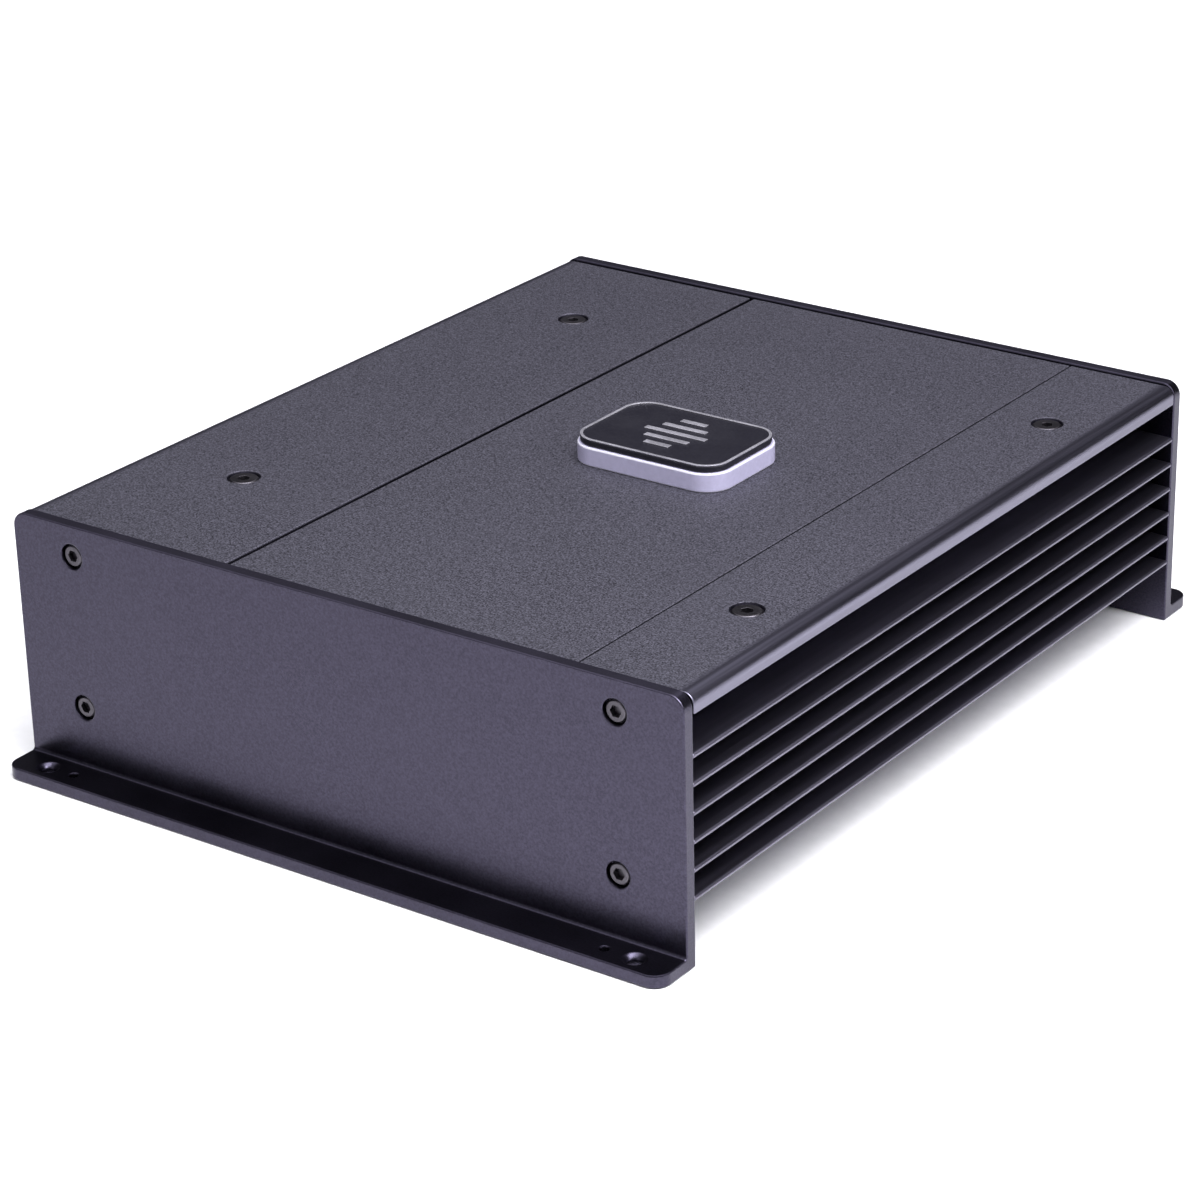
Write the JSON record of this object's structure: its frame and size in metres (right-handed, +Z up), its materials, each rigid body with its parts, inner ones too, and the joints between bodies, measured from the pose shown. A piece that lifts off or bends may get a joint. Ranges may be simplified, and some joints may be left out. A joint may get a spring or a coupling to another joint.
{
  "type": "car audio amplifier",
  "caption": "Car audio power amplifier: black finned extrusion between end plates with foot flanges, removable terminal cover, controls, fuses and circuit board inside.",
  "frame": {"origin": "on the mounting surface, at the middle of the footprint", "axes": "+Z up from the mounting surface, +Y along the extrusions to the rear end plate, +X towards the cooling fins"},
  "size_m": [0.184, 0.2364, 0.0689],
  "materials": {
    "anodised_black": "fine bead-blasted black anodising",
    "anodised_panel": "sand-textured charcoal anodising",
    "anodised_plate": "smooth satin black anodising",
    "black_screw": "black oxide",
    "clear_acrylic": "frosted translucent acrylic",
    "badge_black": "glossy black",
    "badge_silver": "brushed silver",
    "base_steel": "black coated sheet steel",
    "board_green": "solder mask over glass laminate",
    "standoff_brass": "plain brass",
    "plain_steel": "bright zinc",
    "ferrite": "matt grey ferrite",
    "powder_core": "yellow coated iron powder",
    "copper_wire": "enamelled copper wire",
    "capacitor_sleeve": "dark heat-shrunk sleeve",
    "chip_black": "moulded epoxy",
    "insulator_grey": "silicone thermal pad",
    "clamp_aluminium": "mill finish",
    "block_black": "glass-filled nylon",
    "gold_brass": "gold-plated brass",
    "pot_blue": "blue moulding",
    "switch_metal": "tinned shell",
    "knob_black": "matt black moulding",
    "lever_white": "white nylon",
    "led_blue": "tinted clear epoxy",
    "fuse_red": "translucent red nylon"
  },
  "bodies": {
    "root": {"heatsink": "anodised_black", "terminal_rail": "anodised_black", "cover_bridges": "anodised_black", "fin_cap": "anodised_panel", "front_end_plate": "anodised_plate", "rear_end_plate": "anodised_plate", "end_plate_screws": "black_screw", "fin_cap_screws": "black_screw", "base_screws": "black_screw", "clamp_bar_screws": "black_screw", "badge_base": "clear_acrylic", "badge_face": "badge_black", "badge_inlay": "badge_silver", "base_cover": "base_steel", "control_panel": "base_steel", "main_board": "board_green", "control_board": "board_green", "board_standoffs": "standoff_brass", "board_screws": "plain_steel", "transformer_clamp": "plain_steel", "transistor_legs": "plain_steel", "transformer_core": "ferrite", "inductor_cores": "powder_core", "transformer_winding": "copper_wire", "inductor_windings": "copper_wire", "input_capacitors": "capacitor_sleeve", "rail_capacitors": "capacitor_sleeve", "driver_chips": "chip_black", "power_transistors": "chip_black", "insulator_strip": "insulator_grey", "clamp_bar": "clamp_aluminium", "power_terminal_block": "block_black", "speaker_terminal_block": "block_black", "fuse_holder": "block_black", "rca_block": "block_black", "remote_jack": "block_black", "power_terminal_clamps": "gold_brass", "speaker_terminal_clamps": "gold_brass", "rca_shells": "gold_brass", "pot_bodies": "pot_blue", "switch_bodies": "switch_metal", "indicator_leds": "led_blue"},
    "cover": {"terminal_cover": "anodised_panel", "cover_screws": "black_screw"},
    "fuse_a": {"fuse_1": "fuse_red", "fuse_1_blades": "plain_steel"},
    "fuse_b": {"fuse_2": "fuse_red", "fuse_2_blades": "plain_steel"},
    "gain": {"gain_knob": "knob_black"},
    "crossover": {"crossover_knob": "knob_black"},
    "bass": {"bass_knob": "knob_black"},
    "filter_slide": {"filter_switch": "lever_white"},
    "input_slide": {"input_switch": "lever_white"},
    "power_screw_1": {"power_clamp_screw_1": "plain_steel"},
    "power_screw_2": {"power_clamp_screw_2": "plain_steel"},
    "power_screw_3": {"power_clamp_screw_3": "plain_steel"},
    "speaker_screw_1": {"speaker_clamp_screw_1": "plain_steel"},
    "speaker_screw_2": {"speaker_clamp_screw_2": "plain_steel"},
    "speaker_screw_3": {"speaker_clamp_screw_3": "plain_steel"},
    "speaker_screw_4": {"speaker_clamp_screw_4": "plain_steel"}
  },
  "joints": [
    {"name": "cover_lift", "type": "slide", "parent": "root", "child": "cover", "axis": [0, 0, 1], "range_m": [0, 0.06]},
    {"name": "fuse_a_pull", "type": "slide", "parent": "root", "child": "fuse_a", "axis": [-1, 0, 0], "range_m": [0, 0.02]},
    {"name": "fuse_b_pull", "type": "slide", "parent": "root", "child": "fuse_b", "axis": [-1, 0, 0], "range_m": [0, 0.02]},
    {"name": "gain_turn", "type": "hinge", "parent": "root", "child": "gain", "pos_m": [-0.045, 0.018, 0.052], "axis": [0, 0, 1], "range_deg": [-135, 135]},
    {"name": "crossover_turn", "type": "hinge", "parent": "root", "child": "crossover", "pos_m": [-0.045, 0.036, 0.052], "axis": [0, 0, 1], "range_deg": [-135, 135]},
    {"name": "bass_turn", "type": "hinge", "parent": "root", "child": "bass", "pos_m": [-0.045, 0.054, 0.052], "axis": [0, 0, 1], "range_deg": [-135, 135]},
    {"name": "filter_slide_travel", "type": "slide", "parent": "root", "child": "filter_slide", "axis": [0, 1, 0], "range_m": [0, 0.003]},
    {"name": "input_slide_travel", "type": "slide", "parent": "root", "child": "input_slide", "axis": [0, 1, 0], "range_m": [0, 0.003]},
    {"name": "power_screw_1_turn", "type": "hinge", "parent": "root", "child": "power_screw_1", "pos_m": [-0.0644, -0.073, 0.042], "axis": [0, 0, 1], "continuous": true},
    {"name": "power_screw_2_turn", "type": "hinge", "parent": "root", "child": "power_screw_2", "pos_m": [-0.0644, -0.058, 0.042], "axis": [0, 0, 1], "continuous": true},
    {"name": "power_screw_3_turn", "type": "hinge", "parent": "root", "child": "power_screw_3", "pos_m": [-0.0644, -0.043, 0.042], "axis": [0, 0, 1], "continuous": true},
    {"name": "speaker_screw_1_turn", "type": "hinge", "parent": "root", "child": "speaker_screw_1", "pos_m": [-0.0644, -0.001, 0.042], "axis": [0, 0, 1], "continuous": true},
    {"name": "speaker_screw_2_turn", "type": "hinge", "parent": "root", "child": "speaker_screw_2", "pos_m": [-0.0644, 0.009, 0.042], "axis": [0, 0, 1], "continuous": true},
    {"name": "speaker_screw_3_turn", "type": "hinge", "parent": "root", "child": "speaker_screw_3", "pos_m": [-0.0644, 0.019, 0.042], "axis": [0, 0, 1], "continuous": true},
    {"name": "speaker_screw_4_turn", "type": "hinge", "parent": "root", "child": "speaker_screw_4", "pos_m": [-0.0644, 0.029, 0.042], "axis": [0, 0, 1], "continuous": true}
  ]
}
